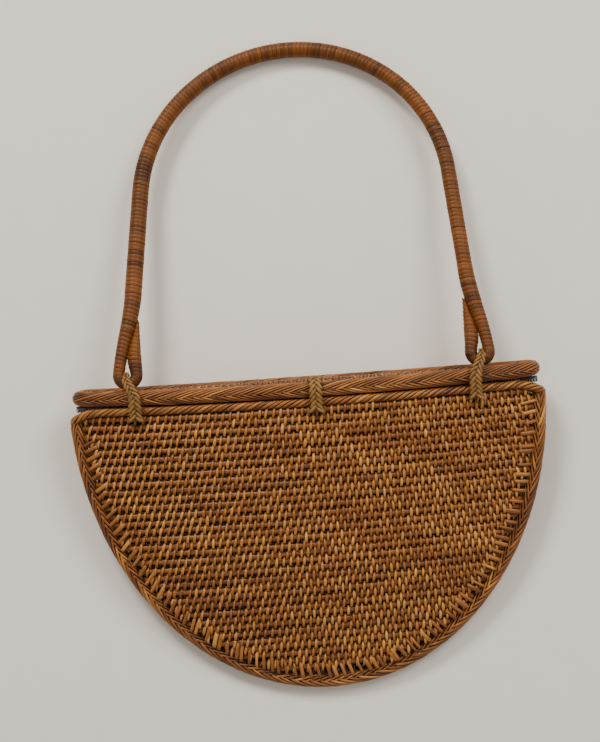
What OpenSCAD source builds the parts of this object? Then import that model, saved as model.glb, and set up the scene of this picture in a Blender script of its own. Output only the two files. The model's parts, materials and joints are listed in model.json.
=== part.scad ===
// Woven cane handbag in the shape of a half moon. Two domed walls meet along a braided edge, a lens-shaped
// lid with a braided rim is hinged on plaited straps, and a tall bound handle hangs in the outer straps.
// The bag lies on its back wall. X runs across it, Y from the rounded bottom towards the handle, Z upwards.

/* [Body] */
// Width across the corners of the mouth
body_w = 258; // [243:1:273]
// Height from the mouth rim down to the lowest point of the edge
body_h = 158; // [148:1:168]
// How far the lowest point of the body hangs to the right
body_skew = 3; // [0:0.5:5]
// Depth between the centre lines of the mouth rim, halfway across
mouth_d = 36; // [34:0.5:40]
// How far the mouth dips halfway across
mouth_dip = 2; // [0:0.5:3]
// How far the mouth rim drops at its two corners
corner_drop = 3; // [2:0.5:4]
// Thickness of the woven walls below their ridges
wall_t = 1.8; // [1.6:0.1:2.4]
// Rows of weave on the front and on the back
weave_rows = 33; // [27:3:36]
// How far the lowest row of the weave rises to the right
row_tilt = 2.6; // [0:0.2:4]
// Height of a row's ridge
ridge_h = 1; // [0.5:0.1:1.1]

/* [Braids] */
// Thickness of the braid along the curved edge
edge_braid_d = 7.6; // [7:0.1:8.6]
// Thickness of the mouth rim
mouth_rim_d = 4.8; // [4.4:0.1:5.4]
// Thickness of the lid's rim
lid_rim_d = 8.3; // [7.7:0.1:9]
// Length of one chevron along the edge and the lid's rim
chevron_pitch = 6.3; // [5.5:0.1:8]
// Length of one stroke along the mouth rim
stroke_pitch = 8; // [7:0.1:10]
// Depth of the grooves between strands
strand_groove = 0.5; // [0.3:0.05:0.7]
// Open band between the woven walls and the edge
lash_gap = 6; // [5:0.1:8]
// Strokes of lashing across that band, on one side
lash_count = 84; // [50:1:90]

/* [Lid] */
// Length of the lid from tip to tip
lid_l = 254; // [239:1:269]
// How far the lid rises from the hinge towards the back
lid_rise = 3; // [2:0.1:4]
// Rows of weave on the lid
lid_rows = 9; // [6:3:12]
// How far the woven top of the lid bulges halfway across
lid_bulge = 3; // [2:0.5:4]

/* [Handle] */
// Height from the middle of the eyes to the middle of the arch
handle_h = 185; // [172:1:192]
// Radius of the arch
arch_r = 85; // [81:1:89]
// How far each leg leans inwards
leg_lean = 5.5; // [4:0.5:7]
// How far the arch leans to the right at the top
arch_shift = 2; // [0:0.5:7]
// Thickness of the bound handle
handle_d = 9.2; // [8.4:0.1:9.8]
// Thickness of the cane where it turns through the eye
eye_d = 6.5; // [6:0.1:7]
// Radius of the turn at the eye
eye_turn = 4.8; // [4.6:0.1:5.4]
// Length of the end that is folded back beside the leg
fold_l = 30; // [26:1:36]
// Thickness of that end
fold_d = 2.8; // [2.4:0.1:4]
// Length of one binding ridge
binding_pitch = 5.4; // [4.8:0.1:8]

/* [Straps] */
// Distance of the outer straps from the middle
strap_x = 91; // [86:1:94]
// Distance of the middle strap from the middle
strap_mid_x = 6; // [-10:1:10]
// Width of a strap
strap_w = 7.6; // [7:0.1:9]
// How far a strap reaches below the mouth
strap_foot = 7; // [6:0.5:14]
// Thickness of a strap
strap_t = 2.6; // [2:0.1:3]

/* [Zip] */
// Height of a zip half
zip_h = 3.6; // [3:0.1:4]
// Thickness of the tape
zip_tape_t = 0.9; // [0.7:0.05:1]
// Thickness of the row of teeth
zip_teeth_t = 1.8; // [1.4:0.1:2]

/* [Hidden] */
// Running clearance between pieces
clear = 0.3;
// Angle of the bag on the surface it lies on
lie = 6.5;
// Columns of the walls' grids, front, back and lid
front_cols = 12;
back_cols = 8;
lid_cols = 10;
// Lines of weave under each row of the walls' insides
lines_in = 6;
// Points around the braids and the handle
braid_sides = 6;
rim_sides = 5;
handle_sides = 8;
// Steps used to measure a path's length
path_steps = 720;

edge_r = edge_braid_d / 2;
rim_r = mouth_rim_d / 2;
lid_r = lid_rim_d / 2;
handle_r = handle_d / 2;
eye_r = eye_d / 2;

// Edge and mouth
edge_rx = body_w / 2 - edge_r;
edge_ry = body_h - edge_r;
edge_z = 2.5;
rim_rx = body_w / 2 - rim_r;
mid_z = mouth_d / 2;
rim_tip_z = 4;
rim_blunt = 60;
corner_run = 15;
edge_start = asin((rim_r + corner_drop + clear) / edge_ry);

// Woven walls
panel_rx = edge_rx - edge_r - lash_gap;
panel_ry = edge_ry - edge_r - lash_gap;
panel_top = rim_r + clear;
panel_bottom = panel_ry * 0.993;

// Lid
lid_rx = lid_l / 2 - lid_r;
lid_tip_z = 5.5;
lid_blunt = 44;
lid_y = -mouth_dip + rim_r + lid_r + clear;
lid_panel_rx = lid_rx - 8;

// Resting place: the lid's back rim stays just clear of the surface below
lid_back = [lid_y + mouth_d * sin(lid_rise), mid_z - mouth_d * cos(lid_rise)];
lift = lid_r + 0.4 - lid_back[0] * sin(lie) - lid_back[1] * cos(lie);

// Zip
lid_zip_x = body_w / 2 - 6;
body_zip_x = edge_rx - edge_r - 5;
zip_rx = body_w / 2 - 4;
zip_z = mid_z - rim_r - clear - zip_teeth_t / 2;
zip_top = lid_r - 1.05;
zip_dip = 1.4;

// Handle
arch_y = handle_h - arch_r;
leg_l = (arch_y + arch_r * sin(leg_lean)) / cos(leg_lean);
eye_x = arch_r * cos(leg_lean) + leg_l * sin(leg_lean);
fold_r = fold_d / 2;
eye_slot = 2 * (eye_turn - eye_r);
split_l = fold_l + 14;
bend_l = PI * eye_turn;
arch_l = arch_r * (90 - leg_lean) * PI / 180;
half_l = fold_l + bend_l + leg_l - eye_turn + arch_l;
eye_z = lens_z(eye_x, lid_rx, lid_tip_z, lid_blunt);
eye_y = lid_line_y(eye_x, eye_z) + lid_r + eye_r + clear;
eye_height = lift + eye_y * sin(lie) + eye_z * cos(lie);
handle_drop = lie + asin((eye_height - handle_r) / handle_h);

// Strap passing through the eye
neck_w = eye_slot - 3 * clear;
neck_reach = eye_r + 1.5 * clear + strap_t / 2;
foot_w = strap_w + 2;

// Place of the bag on the surface it lies on
low_y = -edge_ry * cos(lie) - edge_r;
high_y = eye_y * cos(lie) - eye_z * sin(lie) + handle_h * cos(handle_drop - lie) + handle_r;
place_y = -(low_y + high_y) / 2;

// Small helpers
function unit(v) = v / norm(v);
function mix(a, b, t) = a + (b - a) * t;
function ease(t) = let(c = max(0, min(1, t))) c * c * (3 - 2 * c);
function flat(lists) = [for (l = lists) for (p = l) p];

// Depth of a lens-shaped outline at x
function lens_z(x, rx, tip_z, blunt) =
    let(q = min(1, abs(x) / rx))
    (mid_z - tip_z) * (1 - q * q) + tip_z * sqrt(max(0, 1 - pow(q, blunt)));

// Dip of the mouth and the lid halfway across
function dip(x) = mouth_dip * max(0, 1 - pow(x / rim_rx, 2));

// Drop of the mouth rim at its corners
function drop(x) = corner_drop * pow(max(0, (abs(x) - rim_rx + corner_run) / corner_run), 2);

// Height of the lid's middle plane in the bag's own frame
function lid_line_y(x, z) = lid_y + mouth_dip - dip(x) + (mid_z - z) * sin(lid_rise);

// Rise of the lid's woven top between its rims
function bulge(x, z) =
    let(half = lens_z(x, lid_rx, lid_tip_z, lid_blunt) - lid_r - clear)
    lid_bulge * (1 - pow(x / lid_panel_rx, 2)) * max(0, 1 - pow(z / half, 2));

// Middle of the front wall, from the mouth to the edge
function dome(x, y) =
    edge_z + (mid_z - edge_z) * max(0, 1 - pow(x / edge_rx, 2) - pow(y / edge_ry, 2));

// Depth of the surface that the bag lies on, measured from the bag's middle plane
function floor_z(y) = (lift + y * sin(lie)) / cos(lie);

// Table of length against position along a path
function length_table(path) = [
    for (i = 0, s = 0; i <= path_steps;
        s = s + norm(path((i + 1) / path_steps) - path(i / path_steps)), i = i + 1) [s, i / path_steps]
];

// Point of a path with its outward and upward directions
function path_frame(path, u, up) =
    let(step = 0.0005)
    let(t = unit(path(u + step) - path(u - step)))
    let(e2 = unit(up - (up * t) * t))
    [path(u), cross(e2, t), e2];

// Lag of a strand around a braid: 0 at the apex, 1 a half period away
function strand_lag(angle, period) =
    let(a = (angle + 3600) % period)
    1 - abs(a - period / 2) / (period / 2);

// Rings of a braid: every second ring is raised, and each ring is drawn out along the strands
function braid_rings(path, up, r, pitch, sides, apex, period, lag, loop) =
    let(table = length_table(path))
    let(total = table[path_steps][0])
    let(count = 2 * round(total / pitch))
    let(gap = total / count)
    [
        for (j = [0 : loop ? count - 1 : count])
            let(s = j * gap)
            let(fade = loop ? 1 : min(1, s / (3 * lag), (total - s) / (3 * lag)))
            let(rj = r - (j % 2 == 0 ? strand_groove : 0))
            [
                for (i = [0 : sides - 1])
                    let(a = apex + 360 * i / sides)
                    let(at = s + fade * lag * strand_lag(a - apex, period))
                    let(u = lookup(loop ? at % total : at, table))
                    let(f = path_frame(path, u, up))
                    f[0] + rj * (cos(a) * f[1] + sin(a) * f[2])
            ]
    ];

// Solid skin over rings of points
module skin(rings, loop = false) {
    n = len(rings[0]);
    m = len(rings);
    last = loop ? m - 1 : m - 2;
    sides = [
        for (j = [0 : last])
            for (i = [0 : n - 1])
                let(a = j * n + i)
                let(b = j * n + (i + 1) % n)
                let(c = ((j + 1) % m) * n + (i + 1) % n)
                let(d = ((j + 1) % m) * n + i)
                each [[a, d, c], [a, c, b]]
    ];
    caps = loop ? [] : [[for (i = [0 : n - 1]) i], [for (i = [n - 1 : -1 : 0]) (m - 1) * n + i]];
    polyhedron(flat(rings), concat(sides, caps), convexity = 10);
}

// Woven wall: a ridged outer face and a smooth inner face over the same columns
module woven_wall(rows, cols, outer, inner) {
    lines = 2 * rows;
    groups = lines / lines_in;
    base = (lines + 1) * (cols + 1);
    points = concat(
        [for (j = [0 : lines]) for (i = [0 : cols]) outer(j / lines, 2 * i / cols - 1, j % 2)],
        [for (k = [0 : groups]) for (i = [0 : cols]) inner(k / groups, 2 * i / cols - 1)]
    );
    o = function (j, i) j * (cols + 1) + i;
    n = function (k, i) base + k * (cols + 1) + i;
    fronts = [
        for (j = [0 : lines - 1]) for (i = [0 : cols - 1])
            each [[o(j, i), o(j, i + 1), o(j + 1, i + 1)], [o(j, i), o(j + 1, i + 1), o(j + 1, i)]]
    ];
    backs = [
        for (k = [0 : groups - 1]) for (i = [0 : cols - 1])
            each [[n(k, i), n(k + 1, i + 1), n(k, i + 1)], [n(k, i), n(k + 1, i), n(k + 1, i + 1)]]
    ];
    ends = [
        for (i = [0 : cols - 1])
            each [
                [o(0, i + 1), o(0, i), n(0, i)], [o(0, i + 1), n(0, i), n(0, i + 1)],
                [o(lines, i), o(lines, i + 1), n(groups, i + 1)], [o(lines, i), n(groups, i + 1), n(groups, i)]
            ]
    ];
    left = [
        for (k = [0 : groups - 1])
            each concat(
                [for (l = [k * lines_in : (k + 1) * lines_in - 1]) [o(l, 0), o(l + 1, 0), n(k, 0)]],
                [[o((k + 1) * lines_in, 0), n(k + 1, 0), n(k, 0)]]
            )
    ];
    right = [
        for (k = [0 : groups - 1])
            each concat(
                [for (l = [k * lines_in : (k + 1) * lines_in - 1]) [o(l + 1, cols), o(l, cols), n(k, cols)]],
                [[n(k + 1, cols), o((k + 1) * lines_in, cols), n(k, cols)]]
            )
    ];
    polyhedron(points, concat(fronts, backs, ends, left, right), convexity = 10);
}

// Place of a weave line on the half-moon wall, v from the mouth down and h across
function wall_xy(v, h) =
    let(y = -mix(panel_top, panel_bottom, v))
    let(m = tan(row_tilt * v))
    let(a = 1 / pow(panel_rx, 2) + pow(m / panel_ry, 2))
    let(b = m * y / pow(panel_ry, 2))
    let(x = (h * sqrt(max(0, b * b - a * (pow(y / panel_ry, 2) - 1))) - b) / a)
    [x, y + m * x - dip(x) * (1 - v)];

// Point of the body, carried to the right the lower it hangs
function skewed(p) = [p[0] - p[1] * body_skew / body_h, p[1], p[2]];

// Lays the bag's own frame, with Y up the bag and Z to its front, on the surface
module lay() {
    translate([0, place_y, lift])
        rotate([lie, 0, 0])
            children();
}

// Frame of the closed lid
module on_lid() {
    lay()
        translate([0, lid_y + mouth_dip, mid_z])
            rotate([lid_rise, 0, 0])
                translate([0, 0, -mid_z])
                    children();
}

module front_panel() {
    outer = function (v, h, crest)
        let(p = wall_xy(v, h))
        skewed([p[0], p[1], dome(p[0], p[1]) + wall_t / 2 + crest * ridge_h]);
    inner = function (v, h)
        let(p = wall_xy(v, h))
        skewed([p[0], p[1], dome(p[0], p[1]) - wall_t / 2]);
    color("Peru")
        lay()
            woven_wall(weave_rows, front_cols, outer, inner);
}

// The back is flattened where the bag lies on it
module back_panel() {
    outer = function (v, h, crest)
        let(p = wall_xy(v, h))
        skewed([p[0], p[1], min(dome(p[0], p[1]) + wall_t / 2 + crest * ridge_h, floor_z(p[1]))]);
    inner = function (v, h)
        let(p = wall_xy(v, h))
        skewed([p[0], p[1], min(dome(p[0], p[1]) - wall_t / 2, floor_z(p[1]) - wall_t)]);
    color("Peru")
        lay()
            mirror([0, 0, 1])
                woven_wall(weave_rows, back_cols, outer, inner);
}

module edge_braid() {
    path = function (u)
        let(a = mix(edge_start, 180 - edge_start, u))
        skewed([edge_rx * cos(a), -edge_ry * sin(a), 0]);
    color("SaddleBrown")
        lay()
            skin(braid_rings(path, [0, 0, 1], edge_r, chevron_pitch, braid_sides, 90, 180, 3, false));
}

// Strokes of cane that lash each wall to the edge braid across an open band
module edge_lashing() {
    reach = edge_r * 0.75;
    color("BurlyWood")
        lay()
            for (side = [1, -1])
                for (k = [0 : lash_count - 1])
                    let(a = mix(4, 176, (k + 0.5) / lash_count))
                    let(out = unit([cos(a) / edge_rx, -sin(a) / edge_ry, 0]))
                    let(wall = [panel_rx * cos(a), -panel_ry * sin(a), 0])
                    let(foot = skewed(wall))
                    let(braid = skewed([edge_rx * cos(a), -edge_ry * sin(a), 0] - out * reach))
                    let(z0 = dome(wall[0], wall[1]))
                    let(z1 = edge_r * 0.62)
                    let(run = norm(braid - foot))
                    let(tilt = atan2(z0 - z1, run))
                    translate([(foot[0] + braid[0]) / 2, (foot[1] + braid[1]) / 2, side * (z0 + z1) / 2])
                        rotate([0, 0, atan2(braid[1] - foot[1], braid[0] - foot[0])])
                            rotate([0, side * tilt, 0])
                                cube([run - 1.2, 2.4, 1.6], center = true);
}

module mouth_rim() {
    path = function (u)
        let(x = rim_rx * cos(360 * u))
        [x, -dip(x) - drop(x), sign(sin(360 * u)) * lens_z(x, rim_rx, rim_tip_z, rim_blunt)];
    color("Peru")
        lay()
            skin(braid_rings(path, [0, 1, 0], rim_r, stroke_pitch, rim_sides, 90, 360, 4, true), true);
}

module lid_rim() {
    path = function (u)
        let(x = lid_rx * cos(360 * u))
        [x, -dip(x), sign(sin(360 * u)) * lens_z(x, lid_rx, lid_tip_z, lid_blunt)];
    color("SaddleBrown")
        on_lid()
            skin(braid_rings(path, [0, 1, 0], lid_r, chevron_pitch, braid_sides, 0, 180, 3, true), true);
}

module lid_panel() {
    place = function (v, h)
        let(x = h * lid_panel_rx)
        let(z = (2 * v - 1) * (lens_z(x, lid_rx, lid_tip_z, lid_blunt) - lid_r - clear))
        [x, bulge(x, z) - dip(x), z];
    outer = function (v, h, crest) place(v, h) + [0, wall_t / 2 + crest * ridge_h, 0];
    inner = function (v, h) place(v, h) - [0, wall_t / 2, 0];
    color("Peru")
        on_lid()
            woven_wall(lid_rows, lid_cols, outer, inner);
}

// Half of a zip along the back of the mouth: a tape with a thicker row of teeth along its free edge
function zip_rings(line_y, face, end_x) =
    let(tape = zip_tape_t / 2)
    let(teeth = zip_teeth_t / 2)
    let(section = [
        [-tape, 0], [-tape, -zip_h * 0.65], [-teeth, -zip_h * 0.75], [-teeth, -zip_h],
        [teeth, -zip_h], [teeth, -zip_h * 0.75], [tape, -zip_h * 0.65], [tape, 0]
    ])
    let(steps = 28)
    [
        for (j = [0 : steps])
            let(x = mix(-end_x, end_x, j / steps))
            let(y = line_y(x))
            let(z = -zip_z * (1 - pow(x / zip_rx, 2)))
            let(lean = atan(2 * zip_z * x / (zip_rx * zip_rx)))
            [for (p = section) [x + p[0] * sin(lean), y + face * p[1], z - p[0] * cos(lean)]]
    ];

module lid_zip() {
    line_y = function (x) -dip(x) - zip_top - zip_dip * ease((abs(x) - lid_rx + 14) / 10);
    color("LightSlateGray")
        on_lid()
            skin(zip_rings(line_y, 1, lid_zip_x));
}

module body_zip() {
    line_y = function (x) -dip(x) - drop(x) - rim_r - zip_h;
    color("LightSlateGray")
        lay()
            skin([for (ring = zip_rings(line_y, -1, body_zip_x)) [for (i = [len(ring) - 1 : -1 : 0]) ring[i]]]);
}

// Arc in the plane across the bag, from the front over the top
function strap_arc(x, centre, r, from, to, steps) = [
    for (i = [0 : steps])
        let(a = mix(from, to, i / steps))
        [x, centre[0] + r * sin(a), centre[1] + r * cos(a)]
];

// Plaited strap along a route, with its width and thickness at each point and notches along its edges
function strap_rings(route, widths, thicknesses) =
    let(m = len(route))
    [
        for (j = [0 : m - 1])
            let(t = unit(route[min(m - 1, j + 1)] - route[max(0, j - 1)]))
            let(e2 = unit([1, 0, 0] - t[0] * t))
            let(e1 = cross(e2, t))
            let(w = widths[j] / 2 * (j % 2 == 0 ? 1 : 0.88))
            let(h = thicknesses[j] / 2)
            [
                for (c = [[1, 0], [0.6, -1], [-0.6, -1], [-1, 0], [-0.6, 1], [0.6, 1]])
                    route[j] + c[1] * h * e1 + c[0] * w * e2
            ]
    ];

// Stretch of a strap from its foot on the front wall to the front of the lid's rim
function strap_front(x) =
    let(seat = clear + strap_t / 2)
    let(rim_z = lens_z(x, rim_rx, rim_tip_z, rim_blunt))
    let(wall = function (y) dome(x - foot_w / 2, y) + wall_t / 2 + ridge_h + seat)
    let(foot = -dip(x) - strap_foot)
    let(bend = -dip(x) - rim_r - 0.6)
    [
        [x, foot, wall(foot)],
        [x, mix(foot, bend, 0.5), wall(mix(foot, bend, 0.5))],
        [x, bend, mix(wall(bend), rim_z + rim_r + seat, 0.5)],
        [x, -dip(x) - 1, rim_z + rim_r + seat]
    ];

module strap_middle() {
    x = strap_mid_x;
    bar = [lid_line_y(x, mid_z), lens_z(x, lid_rx, lid_tip_z, lid_blunt)];
    route = concat(strap_front(x), strap_arc(x, bar, lid_r + clear + strap_t / 2, -15, 148, 9));
    widths = [for (j = [0 : len(route) - 1]) j < 2 ? foot_w : strap_w];
    thicknesses = [for (j = [0 : len(route) - 1]) strap_t];
    color("DarkKhaki")
        lay()
            skin(strap_rings(route, widths, thicknesses));
}

// An outer strap goes on up through the handle's eye and down behind the lid's rim
module outer_strap(side) {
    x = strap_x;
    bar_z = lens_z(x, lid_rx, lid_tip_z, lid_blunt);
    bar = [lid_line_y(x, bar_z), bar_z];
    front = concat(strap_front(x), strap_arc(x, bar, lid_r + clear + strap_t / 2, -20, 10, 2));
    neck = strap_arc(eye_x, [eye_y, eye_z], neck_reach, 25, 175, 6);
    rise = [mix(front[len(front) - 1], neck[0], 0.5) + [0, 0, 0.6]];
    behind = lens_z(eye_x, lid_rx, lid_tip_z, lid_blunt) - lid_r - clear - strap_t / 2;
    seat_y = lid_line_y(eye_x, behind) + bulge(eye_x, behind - strap_t / 2) + wall_t / 2 + ridge_h + clear;
    back = [[eye_x, eye_y - 2, behind], [eye_x, seat_y, behind]];
    route = concat(front, rise, neck, back);
    wide = len(front);
    widths = [
        for (j = [0 : len(route) - 1])
            j < 2 ? foot_w : j < wide ? strap_w : j == wide ? (strap_w + neck_w) / 2 : neck_w
    ];
    thicknesses = [for (j = [0 : len(route) - 1]) strap_t];
    color("DarkKhaki")
        lay()
            mirror([side < 0 ? 1 : 0, 0, 0])
                skin(strap_rings(route, widths, thicknesses));
}

module strap_left() {
    outer_strap(-1);
}

module strap_right() {
    outer_strap(1);
}

// Point beside the right leg, out from its line and up from the eye, in the handle's own plane
function leg_point(out, up) =
    [eye_x + out * cos(leg_lean) - up * sin(leg_lean), out * sin(leg_lean) + up * cos(leg_lean)];

// Right half of the handle by length, from the folded end round the eye and up the leg to the arch
function half_handle(s) =
    s < fold_l
        ? let(up = eye_turn + fold_l - s) leg_point(fold_out(up), up)
        : s < fold_l + bend_l
            ? let(a = 180 + 180 * (s - fold_l) / bend_l) leg_point(eye_turn * cos(a), eye_turn * (1 + sin(a)))
            : s < half_l - arch_l
                ? let(up = eye_turn + s - fold_l - bend_l) leg_point(leg_out(up), up)
                : let(a = leg_lean + (s - half_l + arch_l) / arch_r * 180 / PI)
                    [arch_r * cos(a), arch_y + arch_r * sin(a)];

// Place and thickness of the leg where it spreads into the eye, and of the end folded back beside it
function leg_out(up) = eye_turn * (1 - ease((up - eye_turn) / split_l));
function leg_radius(up) = mix(eye_r, handle_r, ease((up - eye_turn) / split_l));
function fold_radius(up) = mix(eye_r, fold_r, (up - eye_turn) / fold_l);
function fold_out(up) =
    leg_out(up) - leg_radius(up) - fold_radius(up) - mix(eye_slot, clear, ease((up - eye_turn) / 12));

// Thickness of the cane along the same half
function half_radius(s) =
    s < fold_l
        ? fold_radius(eye_turn + fold_l - s)
        : s < fold_l + bend_l
            ? eye_r
            : leg_radius(eye_turn + s - fold_l - bend_l);

// Whole handle by length, with the arch leaning to the right
function handle_point(s) =
    let(right = s < half_l)
    let(p = half_handle(right ? s : 2 * half_l - s))
    let(shift = arch_shift * pow(max(0, p[1]) / handle_h, 1.5))
    [(right ? p[0] : -p[0]) + shift, p[1], 0];

module handle() {
    path = function (u) handle_point(max(0, min(2 * half_l, u * 2 * half_l)));
    count = 2 * round(half_l / binding_pitch) * 2;
    rings = [
        for (j = [0 : count])
            let(u = j / count)
            let(s = 2 * half_l * min(u, 1 - u))
            let(r = half_radius(s) - (j % 2 == 0 ? strand_groove * 0.8 : 0))
            let(f = path_frame(path, u, [0, 0, 1]))
            [
                for (i = [0 : handle_sides - 1])
                    let(a = 360 * (i + 0.5) / handle_sides)
                    f[0] + r * (cos(a) * f[1] + sin(a) * f[2])
            ]
    ];
    color("Sienna")
        lay()
            translate([0, eye_y, eye_z])
                rotate([-handle_drop, 0, 0])
                    skin(rings);
}

front_panel();
back_panel();
edge_braid();
edge_lashing();
mouth_rim();
lid_panel();
lid_rim();
lid_zip();
body_zip();
strap_left();
strap_middle();
strap_right();
handle();
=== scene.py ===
"""Dresses a half-moon cane handbag: woven walls, braided edge and lid, plaited straps and a bound handle."""
import json
import math

import bpy
import numpy as np
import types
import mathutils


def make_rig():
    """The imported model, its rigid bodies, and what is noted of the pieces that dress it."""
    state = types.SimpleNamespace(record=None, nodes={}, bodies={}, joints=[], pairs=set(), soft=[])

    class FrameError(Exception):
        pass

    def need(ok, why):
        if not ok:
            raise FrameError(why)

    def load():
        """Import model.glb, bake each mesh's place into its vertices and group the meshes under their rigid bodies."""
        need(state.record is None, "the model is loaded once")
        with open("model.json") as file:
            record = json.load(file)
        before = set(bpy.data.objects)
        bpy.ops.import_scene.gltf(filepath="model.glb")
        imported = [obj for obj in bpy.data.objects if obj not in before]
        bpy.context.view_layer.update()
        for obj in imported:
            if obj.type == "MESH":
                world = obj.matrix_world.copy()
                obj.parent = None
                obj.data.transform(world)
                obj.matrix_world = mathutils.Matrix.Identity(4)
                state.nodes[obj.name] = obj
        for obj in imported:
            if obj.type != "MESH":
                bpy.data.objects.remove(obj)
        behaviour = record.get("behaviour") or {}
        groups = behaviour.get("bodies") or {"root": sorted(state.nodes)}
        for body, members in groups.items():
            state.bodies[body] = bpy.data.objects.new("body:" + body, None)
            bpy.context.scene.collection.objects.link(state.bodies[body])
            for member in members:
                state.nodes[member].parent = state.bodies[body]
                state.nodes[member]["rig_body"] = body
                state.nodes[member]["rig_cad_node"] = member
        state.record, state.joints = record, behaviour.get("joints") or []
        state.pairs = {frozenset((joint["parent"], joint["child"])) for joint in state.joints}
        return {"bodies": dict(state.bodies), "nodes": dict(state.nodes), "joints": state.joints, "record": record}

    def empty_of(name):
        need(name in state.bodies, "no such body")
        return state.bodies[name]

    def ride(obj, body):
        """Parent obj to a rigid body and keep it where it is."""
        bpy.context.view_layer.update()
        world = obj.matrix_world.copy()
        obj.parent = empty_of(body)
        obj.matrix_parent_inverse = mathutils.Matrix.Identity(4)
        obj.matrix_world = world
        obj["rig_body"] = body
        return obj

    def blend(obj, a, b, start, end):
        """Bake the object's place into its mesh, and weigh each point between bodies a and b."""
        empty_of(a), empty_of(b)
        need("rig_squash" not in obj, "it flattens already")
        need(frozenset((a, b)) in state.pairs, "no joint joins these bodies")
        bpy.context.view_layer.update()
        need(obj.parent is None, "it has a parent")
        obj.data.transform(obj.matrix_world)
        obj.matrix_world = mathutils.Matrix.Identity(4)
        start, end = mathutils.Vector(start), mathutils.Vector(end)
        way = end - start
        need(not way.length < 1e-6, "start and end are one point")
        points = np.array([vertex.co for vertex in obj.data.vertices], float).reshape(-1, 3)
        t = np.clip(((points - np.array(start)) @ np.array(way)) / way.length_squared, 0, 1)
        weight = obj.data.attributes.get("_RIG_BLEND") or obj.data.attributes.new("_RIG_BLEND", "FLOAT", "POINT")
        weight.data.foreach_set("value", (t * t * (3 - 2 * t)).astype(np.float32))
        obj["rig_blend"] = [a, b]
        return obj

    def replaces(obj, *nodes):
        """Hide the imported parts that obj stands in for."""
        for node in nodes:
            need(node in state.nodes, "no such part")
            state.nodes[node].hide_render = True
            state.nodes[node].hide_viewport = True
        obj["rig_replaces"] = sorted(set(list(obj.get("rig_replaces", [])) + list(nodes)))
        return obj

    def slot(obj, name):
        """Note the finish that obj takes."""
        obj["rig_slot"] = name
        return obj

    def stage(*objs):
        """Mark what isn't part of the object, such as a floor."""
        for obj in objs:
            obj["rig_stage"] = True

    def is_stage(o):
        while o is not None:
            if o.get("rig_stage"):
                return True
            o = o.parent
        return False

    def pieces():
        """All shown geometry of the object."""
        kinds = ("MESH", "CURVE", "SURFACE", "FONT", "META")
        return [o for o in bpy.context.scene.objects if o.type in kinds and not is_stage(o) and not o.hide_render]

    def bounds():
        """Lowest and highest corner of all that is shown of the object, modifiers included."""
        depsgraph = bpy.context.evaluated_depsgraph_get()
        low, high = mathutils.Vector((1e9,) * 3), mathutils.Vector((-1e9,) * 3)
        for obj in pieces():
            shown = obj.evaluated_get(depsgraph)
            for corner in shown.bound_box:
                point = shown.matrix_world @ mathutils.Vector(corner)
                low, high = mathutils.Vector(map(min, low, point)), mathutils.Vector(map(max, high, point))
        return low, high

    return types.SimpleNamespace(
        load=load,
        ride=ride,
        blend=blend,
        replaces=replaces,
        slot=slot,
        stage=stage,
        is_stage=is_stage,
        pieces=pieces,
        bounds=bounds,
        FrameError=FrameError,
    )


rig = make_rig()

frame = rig.load()
cad_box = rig.bounds()

bl_info = {
    "name": "Woven half-moon handbag",
    "version": (1, 0, 0),
    "blender": (4, 5, 0),
    "location": "View3D > Sidebar > Handbag",
    "description": "Weaves, braids and binds a half-moon cane handbag around its frame",
    "category": "Add Mesh",
}

MM = 0.001
SIZE_FILE = "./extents.json"
GRAIN_SPAN = 911
JOINTS = {j["name"]: j for j in frame["joints"]}

# Body, in millimetres, in the bag's own frame: X across, Y up the bag from the mouth, Z to the front
LIE = math.radians(6.5)
BODY_H = 158.0
BODY_SKEW = 3.0
ROW_TILT = math.radians(2.6)
MID_Z = 18.0
MOUTH_DIP = 2.0
CORNER_DROP = 3.0
CORNER_RUN = 15.0
WALL_T = 1.8
RIDGE_H = 1.0
CLEAR = 0.3
EDGE_R = 3.8
EDGE_RX = 125.2
EDGE_RY = 154.2
EDGE_Z = 2.5
EDGE_START = 2.118
RIM_R = 2.4
RIM_RX = 126.6
RIM_TIP = (4.0, 60.0)
RIM_LEAD = 20.7
RIM_CORNER = 1.6
PANEL_RX = 115.4
PANEL_RY = 144.4
PANEL_TOP = 2.7
PANEL_BOTTOM = 143.39
PANEL_MEAN_R = 125.0
PAST_PANEL = 4
EDGE_TUCK = 3.5

# Lashing of each side. Its start and span are in degrees
LASH_COUNT = 84
LASH_FROM = 4
LASH_SPAN = 172

# Weave: half sizes and tones of rods and strokes. A rod lies ROD_RISE further up the bag than its strokes
ROD_HALF_W = 1.56
ROD_HALF_T = 0.8
ROD_RISE = 0.5
ROD_TONE = 0.33
STROKE_HALF_T = 0.45
STROKE_TONE = 0.57
STROKE_SINK = 0.6
STROKE_CROWN = 2.3

# Lid
LID_R = 4.15
LID_RX = 122.85
LID_TIP = (5.5, 44.0)
LID_RISE = math.radians(3.0)
LID_Y = 4.85
LID_PANEL_RX = 114.85
LID_BULGE = 2.2
LID_ROWS = 9
LID_DARKENING = 0.38
LID_PITCH = 0.83

# Zip
ZIP_H = 3.6
ZIP_RX = 125.0
ZIP_Z = 14.4
ZIP_TOP = 3.1
LID_ZIP_X = 125.0
BODY_ZIP_X = 116.4

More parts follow.
